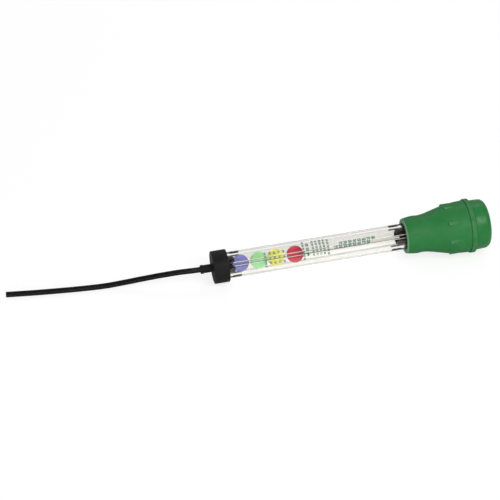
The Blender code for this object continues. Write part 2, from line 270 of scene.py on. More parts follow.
# Light from the world, by height (Z) or depth (Y) of a direction: from, to, level at from, level at to
WHITE = (1, 1, 1, 1)
WORLD_LIGHT = 0.30
MIRRORED_BY_HEIGHT = (0.15, 0.45, 0.5, 0.2)
MIRRORED_BY_DEPTH = (-0.2, 0.3, 0.25, 0.8)
THROUGH_BY_HEIGHT = (0.10, 0.42, 1.25, 0.60)
THROUGH_BY_DEPTH = (0.0, 0.3, 0.12, 1.0)
THROUGH_OVERHEAD = (0.72, 0.80, 0.0, 0.22)

# Lamps: name, azimuth and elevation in degrees, distance, width, height, watts
LAMPS = (
    ("key", 24, 52, 1.2, 0.6, 0.6, 5.6),
    ("fill", -75, 30, 1.4, 0.8, 0.8, 0.8),
    ("front", -5, 18, 1.4, 1.0, 0.6, 3.5),
    ("back_strip", 170, 42, 1.0, 1.0, 0.20, 1.5),
)

# Radii that follow from the sizes
bore_radius = TUBE_RADIUS - TUBE_WALL
ring_radius = bore_radius - FIT_GAP
contact_radius = bore_radius + INK_LIFT
socket_radius = TUBE_RADIUS + FIT_GAP
neck_radius = socket_radius + NECK_WALL
drum_radius = BULB_RADIUS - DRUM_STEP
drum_end_radius = drum_radius - DRUM_TAPER
hose_socket_radius = HOSE_RADIUS + FIT_GAP

# Stations along the tester
flange_start = CAP_FLOOR + FIT_GAP
tube_start = flange_start + STOP_FLANGE_THICKNESS + FIT_GAP
tube_end = tube_start + TUBE_LENGTH
upper_flange_face = tube_end + FIT_GAP + STOP_FLANGE_THICKNESS
bulb_start = tube_end - NECK_OVERLAP

# Distances from the bulb's rim
drum_start = FLARE_LENGTH + COLLAR_LENGTH
bulb_length = drum_start + DRUM_LENGTH
rib_end = FLARE_LENGTH - RIB_COLLAR_SPACE
rib_start = rib_end - RIB_LENGTH

# The ribs' directions round the bulb, and the angle that half a rib and its soft side take up
rib_angles = [tau * index / RIB_COUNT - RIB_TURN for index in range(RIB_COUNT)]
rib_reach = (RIB_WIDTH / 2 + RIB_SOFTNESS * 1.5) / BULB_RADIUS

# Small sizes that follow from others
slot_half = FLOAT_THICKNESS / 2 + FIT_GAP
fillet_space = FIN_FILLET * 1.5
fin_highlight_lift = FIN_FILLET / 4
fin_highlight_start = STOP_NOSE_LENGTH * 0.9
stop_nose_end = STOP_FLANGE_THICKNESS + STOP_NOSE_LENGTH
stop_chamfer_start = stop_nose_end - STOP_CHAMFER_LENGTH
end_round = END_FLAT_RADIUS / 2
tube_merge_distance = FIT_GAP / 100
ink_merge_distance = INK_THICKNESS / 60

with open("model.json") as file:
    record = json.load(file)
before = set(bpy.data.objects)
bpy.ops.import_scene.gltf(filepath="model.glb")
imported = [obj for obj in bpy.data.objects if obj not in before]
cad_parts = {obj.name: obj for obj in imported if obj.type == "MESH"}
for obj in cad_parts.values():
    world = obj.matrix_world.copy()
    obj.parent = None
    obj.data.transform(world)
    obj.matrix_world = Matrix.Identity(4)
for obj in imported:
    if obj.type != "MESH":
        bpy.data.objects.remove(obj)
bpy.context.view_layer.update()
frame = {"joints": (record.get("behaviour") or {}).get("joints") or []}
scene = bpy.context.scene


def half_width(cad_node):
    """Half a CAD node's width across the tester, which for a turned piece is its greatest radius."""
    low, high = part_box(cad_node)
    return (high.y - low.y) / 2


def long_axis_frame():
    """The long axis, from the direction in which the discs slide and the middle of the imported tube."""
    axis = Vector(frame["joints"][0]["axis"]).normalized()
    across = Vector((0, 1, 0))
    low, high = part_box("clear_tube")
    start = (low + high) / 2 - axis * (tube_start + TUBE_LENGTH / 2)
    turn = Matrix((across.cross(axis), across, axis)).transposed().to_4x4()
    return Matrix.Translation(start) @ turn


long_axis = long_axis_frame()
long_direction = long_axis.to_3x3() @ Vector((0, 0, 1))
channel_turn = Matrix.Rotation(CHANNEL_TURN, 4, "Z")
channel = long_axis @ channel_turn


def distance_at(station):
    """How far along the tester's direction a station lies from the frame's origin."""
    return long_direction.dot(long_axis @ Vector((0, 0, station)))


def rounded_outline(corners):
    """Corners are (radius, station) or (radius, station, rounding); the roundings become arcs."""
    outline = []
    for index, (radius, station, *rounding) in enumerate(corners):
        corner = Vector((radius, station))
        if not rounding:
            outline.append(corner)
            continue
        size = rounding[0]
        back = (Vector(corners[index - 1][:2]) - corner).normalized()
        ahead = (Vector(corners[(index + 1) % len(corners)][:2]) - corner).normalized()
        half_angle = back.angle(ahead) / 2
        centre = corner + (back + ahead).normalized() * (size / sin(half_angle))
        arm = corner + back * (size * cos(half_angle) / sin(half_angle)) - centre
        turn = pi - 2 * half_angle
        if arm.y * back.x < arm.x * back.y:
            turn = -turn
        for step in range(ARC_STEPS + 1):
            outline.append(centre + Matrix.Rotation(turn * step / ARC_STEPS, 2) @ arm)
    return outline


def smooth_value(table, place):
    """A cubic curve through a table of (place, value), read at one place."""
    last = len(table) - 1
    slopes = []
    for index in range(last + 1):
        low, high = table[max(index - 1, 0)], table[min(index + 1, last)]
        slopes.append((high[1] - low[1]) / (high[0] - low[0]))
    index = max(i for i in range(last) if table[i][0] <= place)
    (low_place, low_value), (high_place, high_value) = table[index], table[index + 1]
    span = high_place - low_place
    t = (place - low_place) / span
    from_low = (2 * t ** 3 - 3 * t ** 2 + 1) * low_value + (t ** 3 - 2 * t ** 2 + t) * span * slopes[index]
    from_high = (3 * t ** 2 - 2 * t ** 3) * high_value + (t ** 3 - t ** 2) * span * slopes[index + 1]
    return from_low + from_high


def eased(value, low, high):
    """Rises smoothly from 0 at low to 1 at high."""
    t = min(max((value - low) / (high - low), 0), 1)
    return t * t * (3 - 2 * t)


def even_angles(count):
    """A full turn in equal steps."""
    return [tau * index / count for index in range(count)]


def add_piece(name, mesh, material, body, replaced=(), place=None):
    """Puts a finished mesh in the scene, on its body and in place of its CAD nodes."""
    piece = bpy.data.objects.new(name, mesh)
    scene.collection.objects.link(piece)
    mesh.materials.clear()
    mesh.materials.append(material)
    piece.matrix_world = place or Matrix.Identity(4)
    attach(piece, body)
    if replaced:
        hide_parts(*replaced)
    return piece


def finished_mesh(shape, name, sharp_angle=SHARP_ANGLE):
    """Turns a bmesh into a smooth mesh that stays sharp at edges over an angle."""
    mesh = bpy.data.meshes.new(name)
    shape.to_mesh(mesh)
    shape.free()
    mesh.shade_smooth()
    mesh.set_sharp_from_angle(angle=sharp_angle)
    return mesh


def turned_shape(outline, angles, moved=None):
    """Turns a closed outline about local Z. It runs down the outer side, then up the inner side."""
    shape = bmesh.new()
    poles = {}
    for index, (radius, station) in enumerate(outline):
        if radius == 0:
            poles[index] = shape.verts.new((0, 0, station))
    columns = []
    for angle in angles:
        column = []
        for index, (radius, station) in enumerate(outline):
            if index in poles:
                column.append(poles[index])
                continue
            if moved:
                radius = moved(index, radius, station, angle)
            column.append(shape.verts.new((radius * cos(angle), radius * sin(angle), station)))
        columns.append(column)
    for column, after in zip(columns, columns[1:] + columns[:1]):
        for index in range(len(outline)):
            ahead = (index + 1) % len(outline)
            loop = dict.fromkeys((column[index], column[ahead], after[ahead], after[index]))
            if len(loop) > 2:
                shape.faces.new(loop)
    return shape


def make_block(name, low, high):
    """A block between two corners, as a tool for a boolean."""
    shape = bmesh.new()
    bmesh.ops.create_cube(shape, size=1)
    bmesh.ops.scale(shape, vec=Vector(high) - Vector(low), verts=shape.verts)
    bmesh.ops.translate(shape, vec=(Vector(low) + Vector(high)) / 2, verts=shape.verts)
    return bpy.data.objects.new(name, finished_mesh(shape, name))


def boolean(operation, tool):
    """A boolean modifier with its tool, for with_modifiers."""
    return "BOOLEAN", {"operation": operation, "solver": "EXACT", "object": tool}


def with_modifiers(mesh, *modifiers):
    """The mesh after a chain of modifiers, each a kind and its settings."""
    holder = bpy.data.objects.new("holder", mesh)
    scene.collection.objects.link(holder)
    for kind, settings in modifiers:
        modifier = holder.modifiers.new(kind, kind)
        for name, value in settings.items():
            setattr(modifier, name, value)
    graph = bpy.context.evaluated_depsgraph_get()
    result = bpy.data.meshes.new_from_object(holder.evaluated_get(graph), depsgraph=graph)
    bpy.data.objects.remove(holder)
    return result


def node(tree, kind, inputs=(), **settings):
    """A shader node with its settings and inputs; an input is a value or another node's output."""
    made = tree.nodes.new("ShaderNode" + kind)
    for name, value in settings.items():
        setattr(made, name, value)
    for name, value in dict(inputs).items():
        socket = made.inputs[name]
        if isinstance(value, bpy.types.NodeSocket):
            tree.links.new(value, socket)
        else:
            socket.default_value = value
    return made


def new_material(name):
    """A material with its node tree."""
    material = bpy.data.materials.new(name)
    material.use_nodes = True
    return material, material.node_tree


def noise(tree, scale, detail=NOISE_DETAIL, stretch=(1, 1, 1)):
    """Noise in the piece's own space, at so many features a metre."""
    place = node(tree, "TexCoord").outputs["Object"]
    scaled = node(tree, "Mapping", {"Vector": place, "Scale": stretch}).outputs["Vector"]
    return node(tree, "TexNoise", {"Vector": scaled, "Scale": scale, "Detail": detail}).outputs["Fac"]


def mapped(tree, value, low, high, to_low, to_high):
    """A value that runs from to_low to to_high while another runs from low to high."""
    settings = {"Value": value, "From Min": low, "From Max": high, "To Min": to_low, "To Max": to_high}
    return node(tree, "MapRange", settings).outputs["Result"]


def larger(tree, one, other):
    """The larger of two values."""
    return node(tree, "Math", {0: one, 1: other}, operation="MAXIMUM").outputs["Value"]


def product(tree, one, other):
    """Two values multiplied."""
    return node(tree, "Math", {0: one, 1: other}, operation="MULTIPLY").outputs["Value"]


def scaled_sum(tree, value, factor, added):
    """A value times a factor, plus another value."""
    return node(tree, "Math", {0: value, 1: factor, 2: added}, operation="MULTIPLY_ADD").outputs["Value"]


def distance_along(tree):
    """How far along the tester's direction a point lies, for a piece whose own space is the frame's."""
    place = node(tree, "TexCoord").outputs["Object"]
    return node(tree, "VectorMath", {0: place, 1: long_direction}, operation="DOT_PRODUCT").outputs["Value"]


def bumped(tree, height, depth):
    """The surface's normal with a pattern pressed into it."""
    return node(tree, "Bump", {"Height": height, "Distance": depth, "Strength": 1.0}).outputs["Normal"]


def make_moulded(name, colour, wear_and_highlight_colour, tone, roughness, gloss, grain, grain_depth,
                 highlight_until=None, polished_from=None):
    """Moulded rubber or plastic: a cloudy tone, paler edges that are partly wear and partly painted
    highlight, a patchy sheen and a fine grain.

    At its rim it may have a painted highlight, as the lip of the bulb has, and towards its end it may be
    polished, as the bulb is by the hand that squeezes it. Both places are counted along the tester.
    """
    material, tree = new_material(name)
    shader = tree.nodes["Principled BSDF"]
    shader.inputs["Specular IOR Level"].default_value = gloss
    clouds = mapped(tree, noise(tree, CLOUD_SCALE), *NOISE_RANGE, 1 - tone, 1 + tone)
    specks = noise(tree, SPECK_SCALE, SPECK_DETAIL)
    specks = mapped(tree, specks, *SPECK_RANGE, 1 - tone / 2, 1 + tone / 2)
    level = product(tree, clouds, specks)
    toned = node(tree, "HueSaturation", {"Color": (*colour, 1), "Value": level}).outputs["Color"]
    sheen = noise(tree, SHEEN_SCALE, SHEEN_DETAIL)
    sheen = mapped(tree, sheen, *NOISE_RANGE, roughness - SHEEN_BELOW, roughness + SHEEN_ABOVE)
    pointiness = node(tree, "NewGeometry").outputs["Pointiness"]
    # Paler where the mesh is pointed: partly wear, partly painted highlight
    wear_and_highlight = mapped(tree, pointiness, *WEAR_AND_HIGHLIGHT_POINTINESS, 0, EDGE_WEAR_AND_HIGHLIGHT)
    # A painted highlight on the rim of the bulb's neck
    if highlight_until:
        rim_highlight = mapped(tree, distance_along(tree), highlight_until - RIM_FADE, highlight_until, RIM_HIGHLIGHT, 0.0)
        wear_and_highlight = larger(tree, wear_and_highlight, rim_highlight)
    if polished_from:
        fade = (polished_from - POLISH_FADE, polished_from + POLISH_FADE)
        polish = mapped(tree, distance_along(tree), *fade, 0.0, 1.0)
        sheen = scaled_sum(tree, polish, -POLISH, sheen)
        wear_and_highlight = product(tree, wear_and_highlight, mapped(tree, polish, 0.0, 1.0, 1.0, 0.0))
    # The toned colour, paler at the edges (partly wear, partly painted highlight) and at the rim (painted
    # highlight)
    worn = node(tree, "MixRGB", {"Fac": wear_and_highlight, "Color1": toned, "Color2": (*wear_and_highlight_colour, 1)})
    tree.links.new(worn.outputs["Color"], shader.inputs["Base Color"])
    tree.links.new(sheen, shader.inputs["Roughness"])
    tree.links.new(bumped(tree, noise(tree, grain, GRAIN_DETAIL), grain_depth), shader.inputs["Normal"])
    return material


def make_clear_plastic():
    """Clear extruded plastic that lets the lamps through, faintly grey where it is thick."""
    material, tree = new_material("clear_plastic")
    shader = tree.nodes["Principled BSDF"]
    output = tree.nodes["Material Output"]
    shader.inputs["Base Color"].default_value = CLEAR_COLOUR
    shader.inputs["Transmission Weight"].default_value = 1.0
    shader.inputs["IOR"].default_value = CLEAR_IOR
    draw_lines = noise(tree, DRAW_LINE_SCALE, DRAW_LINE_DETAIL, DRAW_LINE_STRETCH)
    roughness = mapped(tree, draw_lines, *NOISE_RANGE, 0.0, DRAW_LINE_ROUGHNESS)
    tree.links.new(roughness, shader.inputs["Roughness"])
    tree.links.new(bumped(tree, draw_lines, DRAW_LINE_DEPTH), shader.inputs["Normal"])
    clear = node(tree, "BsdfTransparent", {"Color": CLEAR_SHADOW})
    lamp_ray = node(tree, "LightPath").outputs["Is Shadow Ray"]
    mix = node(tree, "MixShader", {0: lamp_ray, 1: shader.outputs["BSDF"], 2: clear.outputs["BSDF"]})
    tree.links.new(mix.outputs["Shader"], output.inputs["Surface"])
    smoke = node(tree, "VolumeAbsorption", {"Color": SMOKE_COLOUR, "Density": SMOKE_DENSITY})
    tree.links.new(smoke.outputs["Volume"], output.inputs["Volume"])
    return material


def make_ink():
    """Dark green print, a little uneven where it has worn."""
    material, tree = new_material("ink")
    shader = tree.nodes["Principled BSDF"]
    level = mapped(tree, noise(tree, INK_NOISE_SCALE, INK_NOISE_DETAIL), *NOISE_RANGE, *INK_TONES)
    toned = node(tree, "HueSaturation", {"Color": INK_COLOUR, "Value": level})
    tree.links.new(toned.outputs["Color"], shader.inputs["Base Color"])
    shader.inputs["Roughness"].default_value = INK_ROUGHNESS
    return material


def flare_radius(place):
    """The bulb's outer radius at a distance from its rim, up to the collar."""
    return neck_radius + (BULB_RADIUS - neck_radius) * smooth_value(FLARE_SHARES, place / FLARE_LENGTH)


def bulb_outside():
    """The corners of the bulb's outer side, from the middle of its end to its rim."""
    collar_radius = half_width("squeeze_bulb")
    corners = [
        (0, bulb_length),
        (END_FLAT_RADIUS, bulb_length, end_round),
        (drum_end_radius, bulb_length - DOME_RISE, DRUM_CORNER_ROUND),
        (drum_radius, drum_start + COLLAR_GROOVE_WIDTH, BULB_EDGE_ROUND),
        (drum_radius - COLLAR_GROOVE_DEPTH, drum_start),
        (collar_radius, drum_start, BULB_EDGE_ROUND),
        (collar_radius, FLARE_LENGTH, BULB_EDGE_ROUND),
    ]
    for step in range(FLARE_STEPS, 0, -1):
        place = FLARE_LENGTH * step / FLARE_STEPS
        groove = COLLAR_GROOVE_DEPTH * eased(place, FLARE_LENGTH - COLLAR_GROOVE_WIDTH, FLARE_LENGTH)
        corners.append((flare_radius(place) - groove, place))
    corners.append((flare_radius(0), 0, RIM_ROUND))
    return corners


def bulb_inside():
    """The corners of the bulb's inner side, from its rim over the lip and the cavity to its end."""
    lip_radius = socket_radius - LIP_DEPTH
    lip_start = NECK_OVERLAP + FIT_GAP + STOP_FLANGE_THICKNESS + FIT_GAP
    lip_end = lip_start + LIP_LENGTH
    cavity_start = lip_end + LIP_DEPTH
    cavity_end = bulb_length - BULB_WALL
    corners = [
        (socket_radius, 0, BULB_EDGE_ROUND),
        (socket_radius, lip_start),
        (lip_radius, lip_start),
        (lip_radius, lip_end),
    ]
    for step in range(CAVITY_STEPS + 1):
        place = cavity_start + (FLARE_LENGTH - cavity_start) * step / CAVITY_STEPS
        corners.append((flare_radius(place) - BULB_WALL, place))
    corners.append((drum_end_radius - BULB_WALL, cavity_end, DRUM_CORNER_ROUND - BULB_WALL))
    corners.append((0, cavity_end))
    return corners


def bulb_angles():
    """The directions of the bulb's columns, which stand closer together at the ribs than between them."""
    angles = []
    gap = tau / RIB_COUNT - 2 * rib_reach
    for angle in rib_angles:
        for step in range(RIB_COLUMNS + 1):
            angles.append(angle - rib_reach + 2 * rib_reach * step / RIB_COLUMNS)
        for step in range(1, GAP_COLUMNS):
            angles.append(angle + rib_reach + gap * step / GAP_COLUMNS)
    return angles


def rib_top(place):
    """The radius of a rib's straight back, which sinks into the flare before the collar."""
    start_top = flare_radius(rib_start) + RIB_HEIGHT
    end_top = flare_radius(rib_end) - RIB_SOFTNESS / 2
    share = (place - rib_start) / RIB_LENGTH
    return start_top + (end_top - start_top) * share


def with_ribs(radius, place, angle):
    """The bulb's outer radius, raised where a rib stands."""
    if not rib_start - RIB_SOFTNESS < place < rib_end:
        return radius
    off = min(abs((angle - rib + pi) % tau - pi) for rib in rib_angles) * radius
    side = 1 - eased(off, RIB_WIDTH / 2 - RIB_SOFTNESS, RIB_WIDTH / 2 + RIB_SOFTNESS)
    front = eased(place, rib_start - RIB_SOFTNESS, rib_start + RIB_SOFTNESS / 2)
    height = max(rib_top(place) - radius, 0)
    return radius + height * side * front


def make_squeeze_bulb(material):
    """The rubber bulb, with ribs that grow out of its flare and a groove on both sides of its collar."""
    outside = bulb_outside()
    outline = rounded_outline(outside + bulb_inside())
    outside_count = len(rounded_outline(outside)) - 1

    def moved(index, radius, place, angle):
        return with_ribs(radius, place, angle) if index < outside_count else radius

    mesh = finished_mesh(turned_shape(outline, bulb_angles(), moved), "bulb", BULB_SHARP_ANGLE)
    mesh.transform(long_axis @ Matrix.Translation((0, 0, bulb_start)))
    return add_piece("bulb", mesh, material, "tester", ["squeeze_bulb"])


def make_tip_cap(material):
    """The rubber cup over the tube's tip end, with its beaded stub."""
    cap_radius = half_width("tip_cap")
    bead_start = BEAD_LENGTH - STUB_LENGTH
    bead_height = BEAD_RADIUS - STUB_RADIUS
    corners = [
        (cap_radius, CAP_LENGTH, CAP_EDGE_ROUND),
        (cap_radius, 0, CAP_EDGE_ROUND),
        (STUB_RADIUS, 0, STUB_ROOT_ROUND),
        (STUB_RADIUS, bead_start + bead_height, bead_height),
        (BEAD_RADIUS, bead_start, bead_height),
        (BEAD_RADIUS, -STUB_LENGTH, CAP_EDGE_ROUND),
        (hose_socket_radius, -STUB_LENGTH, bead_height),
        (hose_socket_radius, -STUB_WEB),
        (HOSE_RADIUS - HOSE_WALL, -STUB_WEB),
        (HOSE_RADIUS - HOSE_WALL, CAP_FLOOR),
        (socket_radius, CAP_FLOOR),
        (socket_radius, CAP_LENGTH, CAP_EDGE_ROUND),
    ]
    shape = turned_shape(rounded_outline(corners), even_angles(FACETS))
    mesh = finished_mesh(shape, "cap", ROUND_SHARP_ANGLE)
    mesh.transform(long_axis)
    return add_piece("cap", mesh, material, "tester", ["tip_cap"])


def bore_outline():
    """The outline of the tube's bore and its two fins, which have filleted roots and rounded tips."""
    root_angle = asin(FIN_ROOT_WIDTH / 2 / bore_radius)
    arc_start = root_angle + fillet_space / bore_radius
    arc_steps = FACETS // 2
    corners = []
    for side in (1, -1):
        root_x, root_y = side * bore_radius * cos(root_angle), side * bore_radius * sin(root_angle)
        corners.append((root_x, root_y, FIN_FILLET))
        for step in range(arc_steps + 1):
            angle = arc_start + (pi - 2 * arc_start) * step / arc_steps
            corners.append((side * bore_radius * cos(angle), side * bore_radius * sin(angle)))
        corners.append((-root_x, root_y, FIN_FILLET))
        corners.append((-side * slot_half, side * FIN_TIP_WIDTH / 2, FIN_TIP_ROUND))
        corners.append((-side * slot_half, -side * FIN_TIP_WIDTH / 2, FIN_TIP_ROUND))
    return rounded_outline(corners)


def make_tube(material):
    """The clear tube, extruded with its two inner fins."""
    outside = [(TUBE_RADIUS * cos(angle), TUBE_RADIUS * sin(angle)) for angle in even_angles(FACETS)]
    curve = bpy.data.curves.new("tube", "CURVE")
    curve.dimensions = "2D"
    curve.fill_mode = "BOTH"
    curve.extrude = TUBE_LENGTH / 2
    for loop in (outside, bore_outline()):
        spline = curve.splines.new("POLY")
        spline.points.add(len(loop) - 1)
        spline.use_cyclic_u = True
        for point, (x, y) in zip(spline.points, loop):
            point.co = (x, y, 0, 1)
    shape = bmesh.new()
    shape.from_mesh(with_modifiers(curve))
    bmesh.ops.remove_doubles(shape, verts=shape.verts, dist=tube_merge_distance)
    mesh = finished_mesh(shape, "tube")
    mesh.transform(channel_turn)
    place = long_axis @ Matrix.Translation((0, 0, tube_start + TUBE_LENGTH / 2))
    return add_piece("tube", mesh, material, "tester", ["clear_tube"], place)


def make_fin_highlights(material):
    """A painted highlight: a thin white strip along each root of the two fins, over its fillet, in place of
    the bright line that the fins refract.
    """
    root_x = bore_radius * cos(asin(FIN_ROOT_WIDTH / 2 / bore_radius))
    root_y = FIN_ROOT_WIDTH / 2
    on_fin = Vector((root_x - FIN_FILLET, root_y + INK_LIFT))
    on_bore = Vector((root_x - INK_LIFT - fin_highlight_lift, root_y + FIN_FILLET))
    outward = (on_fin - on_bore).orthogonal().normalized() * FIN_HIGHLIGHT_THICKNESS
    strip = (on_fin, on_bore, on_bore - outward, on_fin - outward)
    shape = bmesh.new()
    for turn_x, turn_y in ((1, 1), (1, -1), (-1, 1), (-1, -1)):
        start, end = [
            [shape.verts.new((turn_x * x, turn_y * y, station)) for x, y in strip]
            for station in (fin_highlight_start, TUBE_LENGTH)
        ]
        shape.faces.new(start)
        shape.faces.new(reversed(end))
        for index in range(len(strip)):
            ahead = (index + 1) % len(strip)
            shape.faces.new((start[ahead], start[index], end[index], end[ahead]))
    bmesh.ops.recalc_face_normals(shape, faces=shape.faces)
    mesh = finished_mesh(shape, "fin_highlights")
    place = channel @ Matrix.Translation((0, 0, tube_start))
    return add_piece("fin_highlights", mesh, material, "tester", (), place)


def make_tongues():
    """Two thin curved tongues that run on along the bore from a stop's nose, as a tool for a boolean."""
    inner_radius = bore_radius - TONGUE_THICKNESS
    start = stop_chamfer_start - TONGUE_ROOT
    end = stop_nose_end + TONGUE_REACH
    outline = [(contact_radius, end), (contact_radius, start), (inner_radius, start), (inner_radius, end)]
    band = finished_mesh(turned_shape(outline, even_angles(FACETS)), "tongues")
    side = TONGUE_WIDTH / 2
    sides = make_block("sides", (-side, -TUBE_RADIUS, start - FIT_GAP), (side, TUBE_RADIUS, end + FIT_GAP))
    tongues = with_modifiers(band, boolean("INTERSECT", sides))
    bpy.data.objects.remove(sides)
    return bpy.data.objects.new("tongues", tongues)


def make_stop_ring(name):
    """A stop's flanged ring, with a chamfered nose."""
    corners = [
        (ring_radius - STOP_CHAMFER_DEPTH, stop_nose_end),
        (ring_radius, stop_chamfer_start),
        (ring_radius, STOP_FLANGE_THICKNESS),
        (TUBE_RADIUS, STOP_FLANGE_THICKNESS),
        (TUBE_RADIUS, 0),
        (STOP_HOLE_RADIUS, 0),
        (STOP_HOLE_RADIUS, stop_nose_end),
    ]
    return finished_mesh(turned_shape(rounded_outline(corners), even_angles(FACETS)), name)


def make_stop(name, cad_node, flange_face, flipped, web_depth, material):
    """A ring, slotted for the fins, with a web across its hole, and crush ribs and tongues on its sides."""
    slot_side = FIN_ROOT_WIDTH / 2 + FIT_GAP
    slot_floor = STOP_FLANGE_THICKNESS - FIT_GAP
    past_nose = 2 * stop_nose_end
    slots = make_block("slots", (-TUBE_RADIUS, -slot_side, slot_floor), (TUBE_RADIUS, slot_side, past_nose))
    web_half = STOP_WEB_WIDTH / 2
    web_side = (STOP_HOLE_RADIUS + ring_radius) / 2
    web_end = stop_nose_end - web_depth
    web = make_block("web", (-web_half, -web_side, FIT_GAP), (web_half, web_side, web_end))
    rib_half = CRUSH_RIB_WIDTH / 2
    front_rib = make_block("front_rib", (-rib_half, -contact_radius, CRUSH_RIB_START),
                           (rib_half, -web_side, stop_chamfer_start))
    back_rib = make_block("back_rib", (-rib_half, web_side, CRUSH_RIB_START),
                          (rib_half, contact_radius, stop_chamfer_start))
    tongues = make_tongues()
    softened_edges = {
        "width": STOP_EDGE_ROUND, "segments": STOP_EDGE_STEPS, "limit_method": "ANGLE",
        "harden_normals": False,
    }
    mesh = with_modifiers(
        make_stop_ring(name),
        boolean("DIFFERENCE", slots),
        boolean("UNION", web),
        boolean("UNION", front_rib),
        boolean("UNION", back_rib),
        ("BEVEL", softened_edges),
        boolean("UNION", tongues),
    )
    for tool in (slots, web, front_rib, back_rib, tongues):
        bpy.data.objects.remove(tool)
    mesh.shade_smooth()
    mesh.set_sharp_from_angle(angle=STOP_SHARP_ANGLE)
    mesh.transform(channel_turn @ Matrix.Rotation(pi if flipped else 0, 4, "X"))
    place = long_axis @ Matrix.Translation((0, 0, flange_face))
    return add_piece(name, mesh, material, "tester", [cad_node], place)


def make_disc(name, cad_node, body, material):
    """A density disc: a flat round with softened edges, standing in the slot between the fins."""
    half = FLOAT_THICKNESS / 2
    corners = [
        (0, half),
        (FLOAT_RADIUS, half, FLOAT_EDGE_ROUND),
        (FLOAT_RADIUS, -half, FLOAT_EDGE_ROUND),
        (0, -half),
    ]
    shape = turned_shape(rounded_outline(corners), even_angles(FACETS))
    mesh = finished_mesh(shape, name, ROUND_SHARP_ANGLE)
    low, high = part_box(cad_node)
    on_edge = channel.to_3x3().to_4x4() @ Matrix.Rotation(pi / 2, 4, "Y")
    place = Matrix.Translation((low + high) / 2) @ on_edge
    return add_piece(name, mesh, material, body, [cad_node], place)


def hose_path(inner_end, mouth):
    """Close points along the middle of the hose, from inside the stub to its open end."""
    route = [inner_end, (inner_end + mouth) / 2, mouth] + [Vector(point) for point in HOSE_ROUTE]
    lengths = [0]
    for before, after in zip(route, route[1:]):
        lengths.append(lengths[-1] + (after - before).length)
    tables = [[(length, point[axis]) for length, point in zip(lengths, route)] for axis in range(3)]
    path = []
    for index in range(HOSE_RINGS):
        place = lengths[-1] * index / (HOSE_RINGS - 1)
        path.append(Vector([smooth_value(table, place) for table in tables]))
    return path


def hose_shape(path):
    """A hollow hose round a path. Its wall is closed at both ends, its bore is open."""
    shape = bmesh.new()
    rings = []
    for index, centre in enumerate(path):
        ahead = path[min(index + 1, HOSE_RINGS - 1)] - path[max(index - 1, 0)]
        side = Vector((0, 0, 1)).cross(ahead).normalized()
        up = ahead.cross(side).normalized()
        ring = []
        for radius in (HOSE_RADIUS, HOSE_RADIUS - HOSE_WALL):
            ring.append([shape.verts.new(centre + (side * cos(angle) + up * sin(angle)) * radius)
                         for angle in even_angles(HOSE_FACETS)])
        rings.append(ring)
    (first_outer, first_inner), (last_outer, last_inner) = rings[0], rings[-1]
    for index in range(HOSE_FACETS):
        ahead = (index + 1) % HOSE_FACETS
        for (outer, inner), (next_outer, next_inner) in zip(rings, rings[1:]):
            shape.faces.new((outer[index], outer[ahead], next_outer[ahead], next_outer[index]))
            shape.faces.new((inner[ahead], inner[index], next_inner[index], next_inner[ahead]))
        shape.faces.new((first_outer[ahead], first_outer[index], first_inner[index], first_inner[ahead]))
        shape.faces.new((last_outer[index], last_outer[ahead], last_inner[ahead], last_inner[index]))
    return shape


def make_hose(material):
    """The sampling hose, hollow and open at its far end, along the route of the CAD hose."""
    inner_end = long_axis @ Vector((0, 0, -STUB_WEB - FIT_GAP))
    mouth = long_axis @ Vector((0, 0, -STUB_LENGTH))
    path = hose_path(inner_end, mouth)
    mesh = finished_mesh(hose_shape(path), "hose", ROUND_SHARP_ANGLE)
    hose = add_piece("hose", mesh, material, "tester", ["sampling_hose"])
    return hose


def on_tube(station, height, lift):
    """A point on the tube's outside: height is measured round the tube, up from its camera side."""
    angle = pi - height / TUBE_RADIUS
    radius = TUBE_RADIUS + lift
    return channel @ Vector((radius * cos(angle), radius * sin(angle), station))


def make_print(name, words, size, station, height, across, material):
    """Raised numbers wrapped on the tube, along it or, turned a quarter, across it."""
    font = bpy.data.curves.new(name, "FONT")
    font.body = words
    font.size = size
    font.align_x = "CENTER"
    font.align_y = "CENTER"
    font.extrude = INK_THICKNESS / 2
    font.offset = size * INK_SPREAD_SHARE
    shape = bmesh.new()
    shape.from_mesh(with_modifiers(font))
    bmesh.ops.remove_doubles(shape, verts=shape.verts, dist=ink_merge_distance)
    for vertex in shape.verts:
        u, v, lift = vertex.co
        if across:
            u, v = -v, u
        vertex.co = on_tube(station + u, height + v, INK_LIFT + INK_THICKNESS / 2 + lift)
    return add_piece(name, finished_mesh(shape, name), material, "tester")


def floor_level_through(tree):
    """How bright the floor is through the tube, by the distance behind the tester's line."""
    place = node(tree, "SeparateXYZ", {"Vector": node(tree, "NewGeometry").outputs["Position"]}).outputs
    depth = scaled_sum(tree, place["X"], -SHADE_SLANT, place["Y"])
    before = mapped(tree, depth, SHADE_START, SHADE_START + SHADE_SOFTNESS, NEAR_LEVEL, SHADE_LEVEL)
    after = mapped(tree, depth, SHADE_END, SHADE_END + SHADE_SOFTNESS, SHADE_LEVEL, BEHIND_LEVEL)
    far = mapped(tree, depth, FAR_START, FAR_END, 1.0, FAR_SHARE)
    return product(tree, larger(tree, before, after), far)


